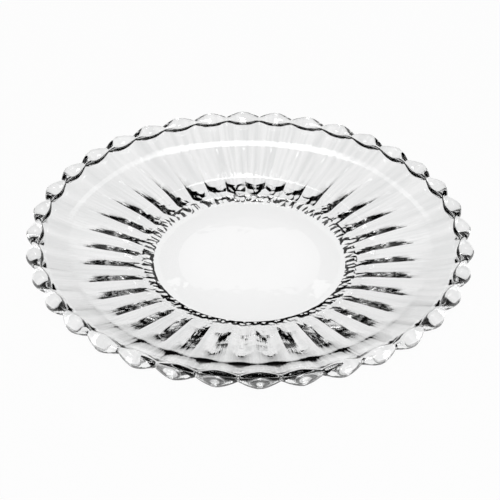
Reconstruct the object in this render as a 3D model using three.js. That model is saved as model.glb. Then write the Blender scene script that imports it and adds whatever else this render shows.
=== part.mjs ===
// A clear pressed glass cake plate, moulded in one piece.
// Sizes are millimetres. +Z is up, the plate turns about the Z axis and stands on z = 0.
// The middle of a rim bead lies on the +X axis, and the notches between the beads lie half a flute
// to either side of it.

import * as THREE from "three";
import { mergeVertices } from "three/addons/utils/BufferGeometryUtils.js";

// Pattern: beads round the rim, and under each notch between them a reed below the shoulder.
const FLUTE_COUNT = 36;
const STEPS_PER_FLUTE = 4; // facets across one flute, an even number

// Smooth upper surface, from the middle outwards.
const WELL_RADIUS = 76.5; // flat floor that the cake stands on
const WELL_FLOOR_HEIGHT = 6.5; // floor of the well above the table
const WELL_FILLET = 2; // hollow corner from the floor to the wall
const WALL_RUN = 11.5; // sloping wall round the well
const WALL_RISE = 6.4;
const CROWN_ROUND = 1.5; // rounded corner from the wall to the shoulder
const SHOULDER_RUN = 45; // broad, shallow slope
const SHOULDER_RISE = 9.2;
const BEND_ROUND = 60; // gentle bend from the shoulder to the rim
const RIM_RUN = 14.2; // steeper slope, out to the beads
const RIM_RISE = 6.1;

// Underside, from the middle outwards, along the grooves between the reeds.
const FOOT_RADIUS = 70; // outside of the ring that the plate stands on
const FOOT_RING_WIDTH = 5;
const RECESS_DEPTH = 1; // shallow hollow inside that ring
const RECESS_SLOPE = 8; // run of the gentle slope into the hollow
const FOOT_STEP_RUN = 1.5; // step up from the ring to the glass round it
const FOOT_STEP_RISE = 1.6;
const REED_END_FACE = 2.5; // rounded inner end of a reed, just outside the foot ring
const REED_END_DEPTH = 0.9;
const WALL_UNDER_RADIUS = 83; // where the underside turns flatter, below the wall
const WALL_UNDER_HEIGHT = 5.2;
const REED_CREST_RADIUS = 97; // where a reed stands out most
const REED_CREST_HEIGHT = 8.2; // height of the grooves there
const REED_DEPTH = 3.3; // crest of a reed below its grooves
const GLASS_DEPTH = 5; // glass at the bend, measured upright

// Beads of the rim, long and round, thin at the notches and thick in the middle.
const NOTCH_BEAD_RADIUS = 2.1;
const TIP_BEAD_RADIUS = 6;
const NOTCH_BEAD_RUN = 5.7; // middle of a bead's section past the end of the rim's slope
const TIP_BEAD_RUN = 7;
const BEAD_RISE = 0.5; // and above it
const BEAD_FROM_ANGLE = -90; // a bead's section starts at its bottom and goes round the outside
const BEAD_TO_ANGLE = 160; // to its inner side, in degrees
const RIM_UNDER_DEPTH = 3.8; // glass at the end of the rim's slope, under a notch
const RIM_TIP_DEPTH = 6.2; // the same in the middle of a flute

// How round the crests are across a flute: 1 is a ridge with straight sides, 2 is a round bar.
const REED_ROUNDNESS = 1.3;
const BEAD_ROUNDNESS = 1.8;

// How finely the curved stretches are divided.
const CORNER_STEPS = 2;
const BEND_STEPS = 3;
const REED_WALL_STEPS = 2;
const REED_INNER_STEPS = 2;
const REED_OUTER_STEPS = 4;
const RIM_STEPS = 2;
const BEAD_STEPS = 10;

// Glass as it looks: clear, colourless and polished.
const GLASS_COLOUR = 0xf3f7f6;
const GLASS_ROUGHNESS = 0.03;
const GLASS_OPACITY = 0.35;

// A point of the outline, by its distance from the axis and its height.
function at(radius, height) {
  return new THREE.Vector2(radius, height);
}

// A point that lies a given distance further out and further up than another.
function from(point, out, up) {
  return point.clone().add(at(out, up));
}

// Corners of the upper surface.
const wellEdge = at(WELL_RADIUS, WELL_FLOOR_HEIGHT);
const wallTop = from(wellEdge, WALL_RUN, WALL_RISE);
const bend = from(wallTop, SHOULDER_RUN, SHOULDER_RISE);
const rimEnd = from(bend, RIM_RUN, RIM_RISE);

// Corners of the underside.
const footOuter = at(FOOT_RADIUS, 0);
const footInner = from(footOuter, -FOOT_RING_WIDTH, 0);
const recessEdge = from(footInner, -RECESS_SLOPE, RECESS_DEPTH);
const footStep = from(footOuter, FOOT_STEP_RUN, FOOT_STEP_RISE);
const wallUnder = at(WALL_UNDER_RADIUS, WALL_UNDER_HEIGHT);
const reedCrest = at(REED_CREST_RADIUS, REED_CREST_HEIGHT);
const bendUnder = from(bend, 0, -GLASS_DEPTH);

// Middle of a bead's section at a notch and at its thickest, and the underside beside it.
const notchBead = from(rimEnd, NOTCH_BEAD_RUN, BEAD_RISE);
const tipBead = from(rimEnd, TIP_BEAD_RUN, BEAD_RISE);
const notchUnder = from(rimEnd, 0, -RIM_UNDER_DEPTH);
const tipUnder = from(rimEnd, 0, -RIM_TIP_DEPTH);

// A station of the outline: where it lies on a notch line, where it lies on the middle line of
// a bead, and how far a reed lowers it on a notch line.
function station(point, tip = point, reed = 0) {
  return { point, tip, reed };
}

// Stations along a straight stretch, after its start. reed gives the depth at a share of the way.
function straight(start, end, steps, reed = () => 0) {
  const stations = [];
  for (let step = 1; step <= steps; step += 1) {
    const share = step / steps;
    const point = start.clone().lerp(end, share);
    stations.push(station(point, point, reed(share)));
  }
  return stations;
}

// Stations round a corner between two straight stretches.
function roundedCorner(before, corner, after, radius, steps) {
  const towardBefore = before.clone().sub(corner).normalize();
  const towardAfter = after.clone().sub(corner).normalize();
  const opening = Math.acos(THREE.MathUtils.clamp(towardBefore.dot(towardAfter), -1, 1));
  const setback = radius / Math.tan(opening / 2);
  const start = corner.clone().addScaledVector(towardBefore, setback);
  const end = corner.clone().addScaledVector(towardAfter, setback);
  const curve = new THREE.QuadraticBezierCurve(start, corner, end);
  return curve.getPoints(steps).map((point) => station(point));
}

// Underside from the axis to the bend. The reeds start beside the foot ring, grow from under the
// wall to their crest and then fade out towards the bend.
function underside() {
  const reedEnd = footStep.clone().lerp(wallUnder, REED_END_FACE / (wallUnder.x - footStep.x));
  const growth = (REED_DEPTH - REED_END_DEPTH) / (reedCrest.x - reedEnd.x);
  const underWall = REED_END_DEPTH + growth * (wallUnder.x - reedEnd.x);
  const endToWall = (share) => REED_END_DEPTH + (underWall - REED_END_DEPTH) * share;
  const wallToCrest = (share) => underWall + (REED_DEPTH - underWall) * share;
  const crestToBend = (share) => REED_DEPTH * (1 - share * share);
  return [
    station(at(0, RECESS_DEPTH)),
    station(recessEdge),
    station(footInner),
    station(footOuter),
    station(footStep),
    station(reedEnd, reedEnd, REED_END_DEPTH),
    ...straight(reedEnd, wallUnder, REED_WALL_STEPS, endToWall),
    ...straight(wallUnder, reedCrest, REED_INNER_STEPS, wallToCrest),
    ...straight(reedCrest, bendUnder, REED_OUTER_STEPS, crestToBend),
  ];
}

// Underside of the rim and the round section of the beads, up to their inner side.
function rimAndBeads() {
  const stations = [];
  for (let step = 1; step <= RIM_STEPS; step += 1) {
    const share = step / RIM_STEPS;
    const point = bendUnder.clone().lerp(notchUnder, share);
    stations.push(station(point, bendUnder.clone().lerp(tipUnder, share)));
  }
  for (let step = 0; step <= BEAD_STEPS; step += 1) {
    const degrees = THREE.MathUtils.lerp(BEAD_FROM_ANGLE, BEAD_TO_ANGLE, step / BEAD_STEPS);
    const angle = THREE.MathUtils.degToRad(degrees);
    const way = at(Math.cos(angle), Math.sin(angle));
    const point = notchBead.clone().addScaledVector(way, NOTCH_BEAD_RADIUS);
    stations.push(station(point, tipBead.clone().addScaledVector(way, TIP_BEAD_RADIUS)));
  }
  return stations;
}

// Upper surface from inside the beads back to the axis.
function upperSurface() {
  const floorMiddle = at(0, WELL_FLOOR_HEIGHT);
  return [
    station(rimEnd),
    ...roundedCorner(rimEnd, bend, wallTop, BEND_ROUND, BEND_STEPS),
    ...roundedCorner(bend, wallTop, wellEdge, CROWN_ROUND, CORNER_STEPS),
    ...roundedCorner(wallTop, wellEdge, floorMiddle, WELL_FILLET, CORNER_STEPS),
    station(floorMiddle),
  ];
}

// Height of a crest over one flute, 1 at its middle and 0 at both its sides.
function crest(phase, roundness) {
  const offset = Math.abs(phase - Math.round(phase));
  return 1 - (2 * offset) ** roundness;
}

// Turns the outline round the axis, then presses the reeds and beads into it.
function plateGeometry() {
  const stations = [...underside(), ...rimAndBeads(), ...upperSurface()];
  const outline = stations.map(({ point }) => point);
  const geometry = new THREE.LatheGeometry(outline, FLUTE_COUNT * STEPS_PER_FLUTE);
  geometry.rotateX(Math.PI / 2);
  const positions = geometry.getAttribute("position");
  for (let index = 0; index < positions.count; index += 1) {
    const { point, tip, reed } = stations[index % stations.length];
    const turn = Math.atan2(positions.getY(index), positions.getX(index));
    const flute = (turn / (2 * Math.PI)) * FLUTE_COUNT;
    const { x: radius, y: level } = point.clone().lerp(tip, crest(flute, BEAD_ROUNDNESS));
    const height = level - reed * crest(flute + 0.5, REED_ROUNDNESS);
    positions.setXYZ(index, radius * Math.cos(turn), radius * Math.sin(turn), height);
  }
  geometry.deleteAttribute("normal");
  geometry.deleteAttribute("uv");
  const closed = mergeVertices(geometry);
  closed.computeVertexNormals();
  return closed;
}

const glass = new THREE.MeshStandardMaterial({
  color: GLASS_COLOUR,
  roughness: GLASS_ROUGHNESS,
  metalness: 0,
  transparent: true,
  opacity: GLASS_OPACITY,
});

const plate = new THREE.Mesh(plateGeometry(), glass);
plate.name = "cake_plate";

const cakePlate = new THREE.Group();
cakePlate.add(plate);

export default cakePlate;
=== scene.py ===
"""A clear pressed glass cake plate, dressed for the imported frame, in a plain white studio."""

import logging
import math
from bisect import bisect_right
from dataclasses import dataclass
from enum import Enum
from typing import Any, Callable, Sequence

import bpy
from mathutils import Matrix, Vector
from mathutils.kdtree import KDTree


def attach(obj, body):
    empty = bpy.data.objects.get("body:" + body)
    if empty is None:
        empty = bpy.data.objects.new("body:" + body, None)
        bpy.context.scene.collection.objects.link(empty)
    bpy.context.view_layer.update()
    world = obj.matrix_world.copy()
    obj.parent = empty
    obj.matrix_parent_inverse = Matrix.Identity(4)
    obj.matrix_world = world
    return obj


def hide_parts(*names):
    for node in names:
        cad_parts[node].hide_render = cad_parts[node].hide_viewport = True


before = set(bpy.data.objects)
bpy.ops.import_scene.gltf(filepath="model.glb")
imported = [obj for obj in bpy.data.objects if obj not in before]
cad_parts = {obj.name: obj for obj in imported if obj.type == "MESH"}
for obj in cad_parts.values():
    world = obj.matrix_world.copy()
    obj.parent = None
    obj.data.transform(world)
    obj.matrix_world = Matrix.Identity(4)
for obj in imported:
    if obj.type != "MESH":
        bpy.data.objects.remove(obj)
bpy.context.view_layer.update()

LOG = logging.getLogger("cake_plate")
MM = 0.001

Point = tuple[float, float]
Span = tuple[float, float]
Place = tuple[float, float, float]
Colour = tuple[float, float, float]
Section = tuple[float, float, float]  # radius and height of its middle, and its own radius
Table = tuple[Point, ...]


# Shader nodes written as expressions


class Value:
    """A number that a node gives out. Sums on it add Math nodes to its tree."""

    def __init__(self, tree: "Nodes", socket: bpy.types.NodeSocket | None) -> None:
        """Keeps the tree and the socket.

        Args:
            tree: the tree that new nodes go into.
            socket: the output that carries the number.
        """
        self.tree = tree
        self.socket = socket

    def math(self, operation: str, *others: "Value | float") -> "Value":
        """Adds one Math node.

        Args:
            operation: the node's operation.
            others: the inputs after this one.

        Returns:
            The node's result.
        """
        sockets = dict(enumerate((self, *others)))
        return self.tree.node("ShaderNodeMath", {"operation": operation}, sockets)

    def _from(self, operation: str, other: "Value | float") -> "Value":
        """A Math node with this number as its second input."""
        sockets = {0: other, 1: self}
        return self.tree.node("ShaderNodeMath", {"operation": operation}, sockets)

    def __add__(self, other: "Value | float") -> "Value":
        """This number plus another."""
        return self.math("ADD", other)

    def __radd__(self, other: float) -> "Value":
        """A plain number plus this one."""
        return self._from("ADD", other)

    def __sub__(self, other: "Value | float") -> "Value":
        """This number less another."""
        return self.math("SUBTRACT", other)

    def __rsub__(self, other: float) -> "Value":
        """A plain number less this one."""
        return self._from("SUBTRACT", other)

    def __mul__(self, other: "Value | float") -> "Value":
        """This number times another."""
        return self.math("MULTIPLY", other)

    def __rmul__(self, other: float) -> "Value":
        """A plain number times this one."""
        return self._from("MULTIPLY", other)

    def __truediv__(self, other: "Value | float") -> "Value":
        """This number divided by another."""
        return self.math("DIVIDE", other)

    def larger(self, other: "Value | float") -> "Value":
        """The larger of this number and another."""
        return self.math("MAXIMUM", other)

    def ramp(self, low: float, high: float, start: float = 0.0, end: float = 1.0) -> "Value":
        """Turns a range of this number smoothly into another range.

        Args:
            low: where the range begins.
            high: where it ends.
            start: the result at low and below.
            end: the result at high and above.

        Returns:
            The new number.
        """
        settings = {"interpolation_type": "SMOOTHSTEP"}
        sockets = {0: self, 1: low, 2: high, 3: start, 4: end}
        return self.tree.node("ShaderNodeMapRange", settings, sockets)


class Nodes:
    """A material's or a world's node tree, emptied and built up again."""

    def __init__(self, owner: bpy.types.Material | bpy.types.World) -> None:
        """Empties the owner's tree.

        Args:
            owner: the material or world.
        """
        owner.use_nodes = True
        self.tree = owner.node_tree
        self.tree.nodes.clear()

    def node(
        self,
        kind: str,
        settings: dict[str, Any] | None = None,
        sockets: dict[str | int, Any] | None = None,
        output: str | int = 0,
    ) -> Value:
        """Adds a node.

        Args:
            kind: the node's type.
            settings: what is set on the node itself, which comes first.
            sockets: its inputs by name or number, each a link or a constant.
            output: the output that is wanted.

        Returns:
            That output, or an empty value for the node that ends a tree.
        """
        node = self.tree.nodes.new(kind)
        for name, setting in (settings or {}).items():
            setattr(node, name, setting)
        for key, given in (sockets or {}).items():
            if isinstance(given, Value):
                self.tree.links.new(given.socket, node.inputs[key])
            else:
                node.inputs[key].default_value = given
        return Value(self, node.outputs[output] if len(node.outputs) else None)


# Finishes


MIX_SHARE, MIX_FIRST, MIX_SECOND, MIX_RESULT = 0, 6, 7, 2  # sockets of a Mix node for colours


def grey(level: float) -> tuple[float, float, float, float]:
    """An opaque grey of that level."""
    return (level, level, level, 1.0)


@dataclass(frozen=True)
class PlatePlace:
    """Where a point of the plate lies, as the values that its patterns read."""

    point: Value
    east: Value  # way out from the axis, one unit long
    north: Value
    out: Value  # distance from the axis
    up: Value

    @classmethod
    def read(cls, nodes: Nodes) -> "PlatePlace":
        """Reads the Object coordinates.

        Args:
            nodes: the tree that needs them.

        Returns:
            The place.
        """
        point = nodes.node("ShaderNodeTexCoord", output="Object")
        east, north, up = (
            nodes.node("ShaderNodeSeparateXYZ", sockets={0: point}, output=axis) for axis in "XYZ"
        )
        out = (east * east + north * north).math("SQRT")
        return cls(point, east / out, north / out, out, up)

    def turned(self, nodes: Nodes, cycles: float, outwards: Value) -> Value:
        """Place in a pattern that runs round the axis.

        Args:
            nodes: the tree that needs it.
            cycles: the pattern's cycles per radian.
            outwards: its cycles up to here, from the axis outwards.

        Returns:
            The vector for the pattern's node.
        """
        ways = {"X": self.east * cycles, "Y": self.north * cycles, "Z": outwards}
        return nodes.node("ShaderNodeCombineXYZ", sockets=ways)


@dataclass(frozen=True)
class GlassFinish:
    """Clear, colourless, fire polished glass with faint drag lines and a stippled ring, in metres,
    with painted shade round the well that stands in for the plate's shadow seen through the glass.
    """

    refraction: float = 1.51
    roughness: float = 0.004
    tint_light: Colour = (1.0, 1.0, 1.0)
    # darker glass colour, used for the drag-line streaks and for the painted shade round the well
    tint_dark_and_shade: Colour = (0.85, 0.855, 0.855)
    noise_middle: float = 0.5  # what a noise gives on average
    lines_round: float = 30.0  # drag lines round the plate, in cycles per radian
    lines_out: float = 9.0  # cycles per metre outwards
    line_detail: float = 3.0
    line_roughness: float = 0.55
    line_height: float = 0.00012
    lines_start: Span = (0.079, 0.087)  # radii over which the drag lines set in
    ripple_scale: float = 60.0
    ripple_detail: float = 2.0
    ripple_roughness: float = 0.5
    ripple_height: float = 0.00005
    grain_size: float = 0.0042  # stippled ring beside the foot
    grain_radius: float = 0.07  # where a grain is that wide
    grain_stretch: float = 0.6  # its width over its length, which runs outwards
    grain_middle: float = 0.4  # what the grain gives on average
    grain_height: float = 0.005
    grain_top: Span = (0.0055, 0.0065)  # heights over which it ends, below the floor of the well
    grain_start: Span = (0.0695, 0.0735)  # radii over which it sets in
    grain_fade: Span = (0.077, 0.08)  # then gets weaker
    grain_faded: float = 0.2  # down to this share
    grain_end: Span = (0.086, 0.092)  # and ends
    streak_range: Span = (0.3, 0.7)  # of the drag lines' noise, from the light tint to the dark one
    painted_shade_start: Span = (0.03, 0.075)  # radii over which the painted shade, a dark tint standing in for the plate's shadow seen through the glass, sets in round the well
    painted_shade_fade: Span = (0.085, 0.1)  # then gets weaker
    painted_shade_well: float = 0.4  # share of the dark tint as painted shade before that
    painted_shade_rim: float = 0.15  # and after

    def material(self) -> bpy.types.Material:
        """Makes the material.

        Returns:
            The glass.
        """
        glass = bpy.data.materials.new("clear_pressed_glass")
        nodes = Nodes(glass)
        place = PlatePlace.read(nodes)
        lines = self._drag_lines(nodes, place)
        ripple = self._ripple(nodes, place)
        pressed = place.out.ramp(*self.lines_start)
        relief = (
            (lines - self.noise_middle) * pressed * self.line_height
            + (ripple - self.noise_middle) * self.ripple_height
            + self._stipple(nodes, place)
        )
        normal = nodes.node(
            "ShaderNodeBump", sockets={"Strength": 1.0, "Distance": 1.0, "Height": relief}
        )
        streaks = lines.ramp(*self.streak_range) * pressed
        shader = nodes.node(
            "ShaderNodeBsdfPrincipled",
            sockets={
                # base colour darkened along the drag lines and, as painted shade, round the well
                "Base Color": self._tint_and_shade(nodes, streaks.larger(self._painted_shade(place))),
                "Roughness": self.roughness * (self.noise_middle + ripple),
                "IOR": self.refraction,
                "Transmission Weight": 1.0,
                "Normal": normal,
            },
        )
        nodes.node("ShaderNodeOutputMaterial", sockets={"Surface": shader})
        return glass

    def _drag_lines(self, nodes: Nodes, place: PlatePlace) -> Value:
        """Faint lines from the middle outwards, left by the glass as it was pressed.

        Args:
            nodes: the glass's tree.
            place: the place on the plate.

        Returns:
            Their noise.
        """
        outwards = place.out * self.lines_out + place.up * self.lines_out
        return nodes.node(
            "ShaderNodeTexNoise",
            {"noise_dimensions": "3D"},
            {
                "Vector": place.turned(nodes, self.lines_round, outwards),
                "Scale": 1.0,
                "Detail": self.line_detail,
                "Roughness": self.line_roughness,
            },
        )

    def _ripple(self, nodes: Nodes, place: PlatePlace) -> Value:
        """Slight unevenness of the polished glass.

        Args:
            nodes: the glass's tree.
            place: the place on the plate.

        Returns:
            Its noise.
        """
        return nodes.node(
            "ShaderNodeTexNoise",
            {"noise_dimensions": "3D"},
            {
                "Vector": place.point,
                "Scale": self.ripple_scale,
                "Detail": self.ripple_detail,
                "Roughness": self.ripple_roughness,
            },
        )

    def _stipple(self, nodes: Nodes, place: PlatePlace) -> Value:
        """Relief of the stippled ring under the plate, beside the foot.

        Args:
            nodes: the glass's tree.
            place: the place on the plate.

        Returns:
            Its height in metres.
        """
        outwards = place.out / self.grain_size * self.grain_stretch
        grain = nodes.node(
            "ShaderNodeTexVoronoi",
            {"voronoi_dimensions": "3D", "feature": "F1"},
            {
                "Vector": place.turned(nodes, self.grain_radius / self.grain_size, outwards),
                "Scale": 1.0,
                "Randomness": 1.0,
            },
            output="Distance",
        )
        foot = place.up.ramp(*self.grain_top, 1.0, 0.0) * place.out.ramp(*self.grain_start)
        foot = foot * place.out.ramp(*self.grain_fade, 1.0, self.grain_faded)
        foot = foot * place.out.ramp(*self.grain_end, 1.0, 0.0)
        return (grain - self.grain_middle) * foot * self.grain_height

    def _painted_shade(self, place: PlatePlace) -> Value:
        """Share of the dark tint painted round the well as shade, standing in for the plate's shadow
        seen through the glass, less towards the rim.
        """
        start = place.out.ramp(*self.painted_shade_start)
        return start * place.out.ramp(*self.painted_shade_fade, self.painted_shade_well, self.painted_shade_rim)

    def _tint_and_shade(self, nodes: Nodes, share: Value) -> Value:
        """Colour of the glass, darkened by the streaks and by the painted shade.

        Args:
            nodes: the glass's tree.
            share: the share of the dark tint, from the streaks and the painted shade.

        Returns:
            The colour.
        """
        return nodes.node(
            "ShaderNodeMix",
            {"data_type": "RGBA"},
            {
                MIX_SHARE: share,
                MIX_FIRST: (*self.tint_light, 1.0),
                MIX_SECOND: (*self.tint_dark_and_shade, 1.0),
            },
            output=MIX_RESULT,
        )


@dataclass(frozen=True)
class PaperFinish:
    """White paper that keeps a soft shadow, and shows white to the camera and in the glass."""

    paper: float = 0.9  # grey of the lit paper
    shown: float = 0.97  # share of plain white in what is seen, the rest is lit paper

    def material(self) -> bpy.types.Material:
        """Makes the material.

        Returns:
            The paper.
        """
        paper = bpy.data.materials.new("white_paper")
        nodes = Nodes(paper)
        seen = nodes.node("ShaderNodeLightPath", output="Is Camera Ray")
        mirrored = nodes.node("ShaderNodeLightPath", output="Is Glossy Ray")
        through = nodes.node("ShaderNodeLightPath", output="Is Transmission Ray")
        share = seen.larger(mirrored).larger(through) * self.shown
        lit = nodes.node("ShaderNodeBsdfDiffuse", sockets={"Color": grey(self.paper)})
        plain = nodes.node(
            "ShaderNodeEmission", sockets={"Color": grey(1.0), "Strength": 1.0}
        )
        mixed = nodes.node("ShaderNodeMixShader", sockets={0: share, 1: lit, 2: plain})
        nodes.node("ShaderNodeOutputMaterial", sockets={"Surface": mixed})
        return paper


# Outline of the plate


@dataclass(frozen=True)
class Station:
    """One row of the outline, in millimetres."""

    radius: float
    height: float
    reed: float = 0.0  # how far a reed lowers it on a notch line
    reed_roundness: float = 2.0
    out: float = 0.0  # how far a rim bead carries it out on the bead's middle line
    up: float = 0.0  # and up there
    bead_roundness: float = 2.0


def between(table: Table, place: float) -> float:
    """Reads a table of sizes along a line.

    Args:
        table: pairs of a place and a size, with the place growing.
        place: the place that is asked for.

    Returns:
        The size there, straight between the pairs and level beyond them.
    """
    at = bisect_right([known for known, _ in table], place)
    if at == 0:
        return table[0][1]
    if at == len(table):
        return table[-1][1]
    (low, start), (high, end) = table[at - 1], table[at]
    return start + (end - start) * (place - low) / (high - low)


END_SHARE = 0.99  # most that a rounding takes of a line's first or last stretch
INNER_SHARE = 0.49  # and of a stretch with a rounding at each end


def rounded(corners: Sequence[Point], radii: Sequence[float], steps: int) -> list[Vector]:
    """Rounds the inner corners of a broken line.

    Args:
        corners: the corners, with the two ends.
        radii: the rounding at each inner corner.
        steps: the pieces of each rounding.

    Returns:
        The points of the rounded line, the same count for any corners.
    """
    line = [Vector(corners[0])]
    for index, radius in enumerate(radii, start=1):
        before, corner, after = (Vector(corners[index + step]) for step in (-1, 0, 1))
        back, ahead = before - corner, after - corner
        turn = back.angle(ahead)
        before_share = END_SHARE if index == 1 else INNER_SHARE
        after_share = END_SHARE if index == len(radii) else INNER_SHARE
        limit = min(before_share * back.length, after_share * ahead.length)
        setback = min(radius / math.tan(turn / 2), limit)
        start = corner + back.normalized() * setback
        end = corner + ahead.normalized() * setback
        for step in range(steps + 1):
            share = step / steps
            line.append(start.lerp(corner, share).lerp(corner.lerp(end, share), share))
    line.append(Vector(corners[-1]))
    return line


def divided(lines: Sequence[list[Vector]], longest: float) -> list[list[Vector]]:
    """Divides lines with the same count of points, so that no piece of any is too long.

    Args:
        lines: the lines.
        longest: the longest piece that is wanted.

    Returns:
        The lines with more points, again the same count in each.
    """
    finer = [[line[0]] for line in lines]
    for index in range(len(lines[0]) - 1):
        length = max((line[index + 1] - line[index]).length for line in lines)
        count = max(1, math.ceil(length / longest))
        for step in range(1, count + 1):
            for line, result in zip(lines, finer):
                result.append(line[index].lerp(line[index + 1], step / count))
    return finer


@dataclass(frozen=True)
class PlateOutline:
    """Sizes of the plate's section in millimetres. A point is its radius and its height."""

    well: Point = (76.5, 6.5)  # edge of the flat floor
    wall_top: Point = (88.0, 12.9)  # where the well's wall meets the shoulder
    bend: Point = (133.0, 22.1)  # where the shoulder turns up into the rim
    rim_end: Point = (145.5, 27.45)  # foot of the beads
    rim_inner: Point = (143.6, 26.64)  # rim just inside it
    upper_rounds: tuple[float, ...] = (105.0, 30.0, 20.0)  # at the bend, the wall's top and the well
    upper_steps: int = 9  # pieces of each of those roundings
    recess: Point = (52.0, 0.3)  # hollow inside the foot ring
    foot_inner: Point = (65.0, 0.0)
    foot_outer: Point = (70.0, 0.0)
    foot_step: Point = (73.5, 1.5)  # top of the step beside the ring
    wall_under: Point = (80.0, 4.0)  # from here to the bend, along the grooves between the reeds
    reed_crest: Point = (92.0, 7.0)  # where the reeds are deepest
    bend_under: Point = (129.0, 16.0)
    lower_rounds: tuple[float, ...] = (20.0, 0.3, 0.5, 0.7, 6.0, 10.0)  # from recess to reed_crest
    notch_under: Point = (148.0, 24.7)  # where the rim's underside meets a notch
    tip_under: Point = (147.8, 23.7)  # and the middle of a bead
    under_round: float = 2.0
    notch_bead: Section = (152.9, 28.7, 2.1)  # a bead's section at a notch
    tip_bead: Section = (154.2, 28.7, 5.7)  # and in the middle of a bead
    bead_angles: Span = (-140.0, 150.0)  # of that section in degrees, from below round the outside
    bead_steps: int = 18
    bead_foot_round: float = 6.0
    # How far a reed stands below its grooves, by radius.
    reeds: Table = (
        (75.5, 0.0),
        (78.0, 0.3),
        (80.0, 0.6),
        (84.0, 1.6),
        (88.0, 2.5),
        (92.0, 3.2),
        (97.0, 2.7),
        (105.0, 2.3),
        (115.0, 1.6),
        (123.5, 0.7),
        (129.5, 0.0),
    )
    # How round the reeds and the beads are, by radius and by the share of the way round the edge.
    reed_roundness: Table = (
        (80.0, 1.5),
        (86.0, 1.4),
        (92.0, 1.4),
        (97.0, 1.1),
        (105.0, 1.3),
        (115.0, 1.6),
        (125.0, 1.8),
    )
    bead_roundness: Table = ((0.0, 1.6), (0.3, 1.6), (0.5, 1.5), (1.0, 1.5))
    arc_steps: int = 5
    relief_step: float = 2.0  # longest piece of the section where there are reeds or beads

    def stations(self) -> list[Station]:
        """Goes out along the underside, round the edge and back over the top to the axis.

        Returns:
            The stations in order, with the middle of the underside last.
        """
        middle, *underside = self._underside()
        return [*underside, *self._edge(), *self._upper(), middle]

    def _underside(self) -> list[Station]:
        """Underside from the axis to the bend, with its reeds.

        Returns:
            The stations there.
        """
        corners = [
            (0.0, self.recess[1]),
            self.recess,
            self.foot_inner,
            self.foot_outer,
            self.foot_step,
            self.wall_under,
            self.reed_crest,
            self.bend_under,
        ]
        line = rounded(corners, self.lower_rounds, self.arc_steps)
        relief = next(at for at, point in enumerate(line) if point.x > self.foot_outer[0])
        fine = divided([line[relief:]], self.relief_step)[0]
        return [self._reeded(point) for point in (*line[:relief], *fine)]

    def _reeded(self, point: Vector) -> Station:
        """A station of the underside with the reed that it carries."""
        return Station(
            point.x,
            point.y,
            reed=between(self.reeds, point.x),
            reed_roundness=between(self.reed_roundness, point.x),
        )

    def _edge(self) -> list[Station]:
        """Underside of the rim and the beads of its edge, from the bend to the upper surface.

        Returns:
            The stations there, after the bend's own.
        """
        lines = [
            self._edge_line(self.notch_under, *self.notch_bead),
            self._edge_line(self.tip_under, *self.tip_bead),
        ]
        at_notch, at_tip = divided(lines, self.relief_step)
        stations = []
        last = len(at_notch) - 1
        for index in range(1, last + 1):
            low, tip = at_notch[index], at_tip[index]
            stations.append(
                Station(
                    low.x,
                    low.y,
                    out=tip.x - low.x,
                    up=tip.y - low.y,
                    bead_roundness=between(self.bead_roundness, index / last),
                )
            )
        return stations

    def _edge_line(self, under: Point, middle: float, level: float, radius: float) -> list[Vector]:
        """Section of the rim's underside and of a bead, at one place of a flute.

        Args:
            under: the corner where the underside meets the bead.
            middle: how far out the middle of the bead's section lies.
            level: the height of that middle.
            radius: the radius of the bead's section.

        Returns:
            The points from the bend under the rim to the start of the upper surface.
        """
        first, last = (math.radians(angle) for angle in self.bead_angles)
        arc = []
        for step in range(self.bead_steps + 1):
            angle = first + (last - first) * step / self.bead_steps
            arc.append((middle + radius * math.cos(angle), level + radius * math.sin(angle)))
        below = rounded([self.bend_under, under, arc[0]], (self.under_round,), self.arc_steps)
        foot = [arc[-1], self.rim_end, self.rim_inner]
        above = rounded(foot, (self.bead_foot_round,), self.arc_steps)
        return [*below, *(Vector(point) for point in arc[1:-1]), *above]

    def _upper(self) -> list[Station]:
        """Smooth upper surface, from inside the beads back to the axis.

        Returns:
            The stations there.
        """
        corners = [self.rim_inner, self.bend, self.wall_top, self.well, (0.0, self.well[1])]
        line = rounded(corners, self.upper_rounds, self.upper_steps)
        return [Station(point.x, point.y) for point in line[1:]]


# Modelling by hand


class Relief(Enum):
    """What is pressed into the plain turned shape: a vertex group and the way it moves."""

    REED = ("reed", "Z", -1.0)
    OUT = ("bead_out", "X", 1.0)
    IN = ("bead_in", "X", -1.0)
    UP = ("bead_up", "Z", 1.0)
    DOWN = ("bead_down", "Z", -1.0)


def deselect_all() -> None:
    """Leaves object mode with nothing selected."""
    if bpy.context.object and bpy.context.object.mode != "OBJECT":
        bpy.ops.object.mode_set(mode="OBJECT")
    bpy.ops.object.select_all(action="DESELECT")


def select_points(piece: bpy.types.Object, test: Callable[[Vector], bool]) -> None:
    """Goes into edit mode with some of a piece's points selected.

    Args:
        piece: the piece, which is the active object.
        test: says of a point's place whether it is wanted.
    """
    bpy.ops.object.mode_set(mode="EDIT")
    bpy.ops.mesh.select_mode(type="VERT")
    bpy.ops.mesh.select_all(action="DESELECT")
    bpy.ops.object.mode_set(mode="OBJECT")
    for vertex in piece.data.vertices:
        vertex.select = test(vertex.co)
    bpy.ops.object.mode_set(mode="EDIT")


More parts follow.
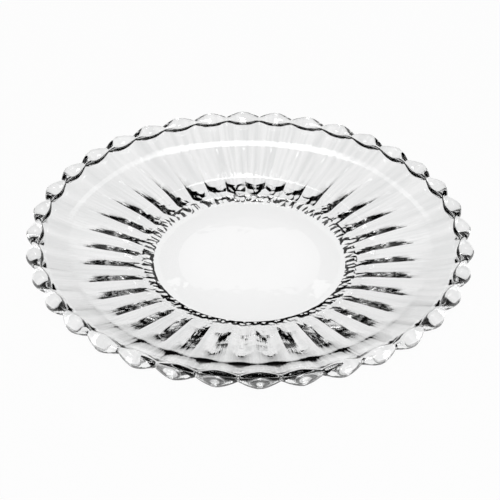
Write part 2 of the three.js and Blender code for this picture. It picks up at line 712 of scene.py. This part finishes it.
@dataclass
class GlassPlate:
    """The plate: one flute is modelled, pressed and copied round the axis."""

    outline: PlateOutline
    finish: GlassFinish
    flutes: int = 36
    columns: int = 16  # across one flute, an even number
    flute_slack: float = 1.01  # keeps the points on both sides of the flute when it is cut out
    start: float = 1.0  # radius of the circle that it is cut from
    crest_blend: float = 0.04  # rounding of a crest, as a share of half a flute
    sharp_reed: float = 0.8  # grooves stay sharp beside reeds deeper than this, in millimetres
    merge: float = 0.004 * MM  # points closer than this become one
    pole: float = 0.001  # radius of a row that closes on the axis, in millimetres
    row_slack: float = 0.01  # for finding the first row again, in millimetres

    def build(self) -> bpy.types.Object:
        """Models the plate.

        Returns:
            The plate's object.
        """
        stations = self.outline.stations()
        plate = self._flute(stations)
        rows = self._rows(plate, stations)
        self._press(plate, rows)
        self._crease(plate, rows)
        self._copy_round(plate)
        return plate

    def dress(self, plate: bpy.types.Object) -> None:
        """Gives the plate its glass and its place in the frame.

        Args:
            plate: the plate's object.
        """
        plate.data.materials.clear()
        plate.data.materials.append(self.finish.material())
        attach(plate, "root")
        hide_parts("cake_plate")

    def _flute(self, stations: list[Station]) -> bpy.types.Object:
        """Turns one plain flute, by extruding a short arc from station to station.

        Args:
            stations: the outline.

        Returns:
            The flute's object.
        """
        deselect_all()
        bpy.ops.mesh.primitive_circle_add(
            vertices=self.flutes * self.columns, radius=self.start, fill_type="NOTHING"
        )
        flute = bpy.context.object
        flute.name = flute.data.name = "glass_cake_plate"
        half = math.pi / self.flutes * self.flute_slack
        select_points(flute, lambda at: abs(math.atan2(at.y, at.x)) > half)
        bpy.ops.mesh.delete(type="VERT")
        bpy.ops.mesh.select_all(action="SELECT")
        here = Vector((self.start, 0.0))
        for index, station in enumerate(stations[:-1]):
            if index:
                bpy.ops.mesh.extrude_region_move()
            here = self._move_row(here, station)
        first = stations[0]
        select_points(
            flute,
            lambda at: math.hypot(at.x, at.y) < (first.radius + self.row_slack) * MM
            and at.z < (first.height + self.row_slack) * MM,
        )
        bpy.ops.mesh.extrude_region_move()
        self._move_row(Vector((first.radius, first.height)) * MM, stations[-1])
        bpy.ops.object.mode_set(mode="OBJECT")
        return flute

    def _move_row(self, here: Vector, station: Station) -> Vector:
        """Moves the selected row of points to a station.

        Args:
            here: the row's radius and height.
            station: where it goes.

        Returns:
            Its new radius and height.
        """
        there = Vector((max(station.radius, self.pole), station.height)) * MM
        scale = there.x / here.x
        bpy.ops.transform.resize(
            value=(scale, scale, 1.0), center_override=(0.0, 0.0, 0.0)
        )
        bpy.ops.transform.translate(value=(0.0, 0.0, there.y - here.y))
        return there

    def _press(self, flute: bpy.types.Object, rows: list[Station]) -> None:
        """Presses the reeds and beads into the flute.

        Args:
            flute: the plain flute.
            rows: the station of each of its points.
        """
        shares: dict[Relief, list[float]] = {relief: [] for relief in Relief}
        for vertex, station in zip(flute.data.vertices, rows):
            phase = math.atan2(vertex.co.y, vertex.co.x) * self.flutes / math.pi
            bead = self._crest(abs(phase), station.bead_roundness)
            reed = self._crest(1.0 - abs(phase), station.reed_roundness)
            shares[Relief.REED].append(station.reed * reed)
            shares[Relief.OUT].append(max(station.out, 0.0) * bead)
            shares[Relief.IN].append(max(-station.out, 0.0) * bead)
            shares[Relief.UP].append(max(station.up, 0.0) * bead)
            shares[Relief.DOWN].append(max(-station.up, 0.0) * bead)
        for relief, amounts in shares.items():
            name, direction, sign = relief.value
            most = max(amounts)
            group = flute.vertex_groups.new(name=name)
            for index, amount in enumerate(amounts):
                if amount > 0.0:
                    group.add([index], amount / most, "REPLACE")
            press = flute.modifiers.new(name, "DISPLACE")
            press.vertex_group = name
            press.direction = direction
            press.mid_level = 0.0
            press.strength = sign * most * MM
            bpy.ops.object.modifier_apply(modifier=press.name)

    def _rows(self, flute: bpy.types.Object, stations: list[Station]) -> list[Station]:
        """Finds the station that each point of the plain flute lies at.

        Args:
            flute: the plain flute.
            stations: its outline.

        Returns:
            One station for each point.
        """
        tree = KDTree(len(stations))
        for index, station in enumerate(stations):
            tree.insert((station.radius * MM, station.height * MM, 0.0), index)
        tree.balance()
        places = (vertex.co for vertex in flute.data.vertices)
        nearest = (tree.find((math.hypot(at.x, at.y), at.z, 0.0)) for at in places)
        return [stations[found[1]] for found in nearest]

    def _crest(self, offset: float, roundness: float) -> float:
        """Section of a reed or bead across its flute.

        Args:
            offset: the distance from the crest line, as a share of half a flute.
            roundness: 1 for straight sides, 2 for a round bar.

        Returns:
            1 on the crest line, down to 0 at the sides.
        """
        blend = self.crest_blend

        def fall(place: float) -> float:
            """How far the section has fallen at a distance from the crest line."""
            return math.hypot(place, blend) ** roundness

        return (fall(1.0) - fall(min(offset, 1.0))) / (fall(1.0) - fall(0.0))

    def _crease(self, flute: bpy.types.Object, rows: list[Station]) -> None:
        """Keeps the grooves between the reeds as sharp lines.

        Args:
            flute: the pressed flute.
            rows: the station of each of its points.
        """
        bpy.ops.object.shade_smooth()
        half_column = math.pi / self.flutes / self.columns

        def on_groove(index: int) -> bool:
            """Whether a point lies in the middle of the flute, between deep reeds."""
            point = flute.data.vertices[index].co
            in_middle = abs(math.atan2(point.y, point.x)) < half_column
            return in_middle and rows[index].reed > self.sharp_reed

        for edge in flute.data.edges:
            edge.use_edge_sharp = all(on_groove(end) for end in edge.vertices)

    def _copy_round(self, plate: bpy.types.Object) -> None:
        """Copies the flute round the axis and joins the copies into one closed plate.

        Args:
            plate: the flute, which becomes the plate.
        """
        bpy.ops.object.mode_set(mode="EDIT")
        bpy.ops.mesh.select_all(action="SELECT")
        copies = self.flutes - 1
        bpy.ops.mesh.spin(
            steps=copies,
            dupli=True,
            angle=2 * math.pi * copies / self.flutes,
            center=(0.0, 0.0, 0.0),
            axis=(0.0, 0.0, 1.0),
        )
        bpy.ops.mesh.select_all(action="SELECT")
        bpy.ops.mesh.remove_doubles(threshold=self.merge)
        bpy.ops.mesh.normals_make_consistent(inside=False)
        bpy.ops.object.mode_set(mode="OBJECT")
        plate.vertex_groups.clear()


# Studio


@dataclass
class PaperFloor:
    """Plain white paper that the plate stands on."""

    finish: PaperFinish
    reach: float = 12.0  # half its width
    gap: float = 0.05 * MM  # below the foot ring, so that their faces don't coincide

    def build(self) -> bpy.types.Object:
        """Lays the paper.

        Returns:
            The floor's object.
        """
        deselect_all()
        bpy.ops.mesh.primitive_plane_add(size=2 * self.reach, location=(0.0, 0.0, -self.gap))
        floor = bpy.context.object
        floor.name = floor.data.name = "paper_floor"
        bpy.ops.object.transform_apply(location=True, rotation=False, scale=False)
        floor.data.materials.append(self.finish.material())
        return floor


@dataclass(frozen=True)
class SoftBox:
    """A flat, soft lamp."""

    name: str
    place: Place
    width: float
    depth: float
    power: float
    turn: float = 0.0  # about its own axis, in degrees
    aim: Place | None = None  # the floor straight below it if none is given

    def build(self) -> bpy.types.Object:
        """Hangs the lamp.

        Returns:
            The lamp's object.
        """
        deselect_all()
        bpy.ops.object.light_add(type="AREA", location=self.place)
        lamp = bpy.context.object
        lamp.name = lamp.data.name = self.name
        lamp.data.shape = "RECTANGLE"
        lamp.data.size = self.width
        lamp.data.size_y = self.depth
        lamp.data.energy = self.power
        aim = Vector(self.aim or (*self.place[:2], 0.0)) - Vector(self.place)
        facing = aim.to_track_quat("-Z", "Y").to_matrix().to_4x4()
        spin = Matrix.Rotation(math.radians(self.turn), 4, "Z")
        lamp.rotation_euler = (facing @ spin).to_euler()
        return lamp


STUDIO_LAMPS = (
    SoftBox("back_softbox", (0.035, 0.64, 1.0), width=0.24, depth=0.13, power=0.5),
    SoftBox("right_softbox", (0.226, 0.859, 1.0), width=0.55, depth=0.06, power=0.16, turn=71.8),
    SoftBox("left_softbox", (-0.139, 0.859, 1.0), width=0.53, depth=0.06, power=0.16, turn=102.9),
    SoftBox("floor_softbox", (0.06, 1.28, 1.0), width=0.4, depth=0.3, power=0.26),
    SoftBox("front_softbox", (0.0, -0.9, 1.2), width=0.6, depth=0.6, power=8.0, aim=(0.0, 0.0, 0.0)),
)


@dataclass(frozen=True)
class StudioAir:
    """Dark studio above a white horizon. The camera sees white all round."""

    ceiling: float = 0.02  # level overhead
    horizon_low: float = 0.03  # rise of a ray up to which the horizon is white
    horizon_high: float = 0.12  # and from which it sees the ceiling

    def build(self) -> None:
        """Makes the world."""
        world = bpy.data.worlds.new("studio_air")
        bpy.context.scene.world = world
        nodes = Nodes(world)
        way = nodes.node("ShaderNodeTexCoord", output="Generated")
        rise = nodes.node("ShaderNodeSeparateXYZ", sockets={0: way}, output="Z")
        seen = nodes.node("ShaderNodeLightPath", output="Is Camera Ray")
        horizon = rise.ramp(self.horizon_low, self.horizon_high, 1.0, self.ceiling)
        level = seen.larger(horizon)
        colour = nodes.node("ShaderNodeCombineXYZ", sockets={0: level, 1: level, 2: level})
        air = nodes.node("ShaderNodeBackground", sockets={"Color": colour, "Strength": 1.0})
        nodes.node("ShaderNodeOutputWorld", sockets={"Surface": air})


@dataclass(frozen=True)
class StudioCamera:
    """The camera at the photograph's angle."""

    rim: float = 0.154  # radius of the plate's rim
    rim_height: float = 0.0311
    elevation: float = 0.6577  # in radians
    distance: float = 5.8661  # in rim radii, as the next two are
    aim_right: float = 0.0012  # from the plate's axis
    aim_down: float = 0.1248  # from the height of the rim
    roll: float = 0.0198  # in radians
    turn: float = math.radians(-2.9)  # about the plate's axis
    lens: float = 89.36
    sensor: float = 36.0

    def build(self) -> bpy.types.Object:
        """Sets up the camera.

        Returns:
            The camera's object.
        """
        data = bpy.data.cameras.new("studio_camera")
        data.sensor_width = self.sensor
        data.lens = self.lens
        camera = bpy.data.objects.new("studio_camera", data)
        bpy.context.scene.collection.objects.link(camera)
        rise, level = math.sin(self.elevation), math.cos(self.elevation)
        aim = Vector((self.aim_right * self.rim, 0.0, self.rim_height - self.aim_down * self.rim))
        back = Vector((0.0, -level, rise))
        right, up = Vector((1.0, 0.0, 0.0)), Vector((0.0, rise, level))
        along, across = math.cos(self.roll), math.sin(self.roll)
        axes = (along * right + across * up, along * up - across * right, back)
        place = aim + back * self.distance * self.rim
        pose = Matrix([(*row, at) for row, at in zip(zip(*axes), place)] + [(0, 0, 0, 1)])
        camera.matrix_world = Matrix.Rotation(self.turn, 4, "Z") @ pose
        bpy.context.scene.camera = camera
        return camera


def main() -> None:
    """Builds the camera, the plate and the studio in order."""
    logging.basicConfig(level=logging.INFO, format="%(name)s: %(message)s")
    bpy.context.scene.view_settings.view_transform = "Standard"
    StudioCamera().build()
    maker = GlassPlate(PlateOutline(), GlassFinish())
    plate = maker.build()
    maker.dress(plate)
    LOG.info("%s: %d faces", plate.name, len(plate.data.polygons))
    floor = PaperFloor(PaperFinish()).build()
    LOG.info("%s laid", floor.name)
    StudioAir().build()
    for lamp in STUDIO_LAMPS:
        LOG.info("%s hung", lamp.build().name)


if __name__ == "__main__":
    main()
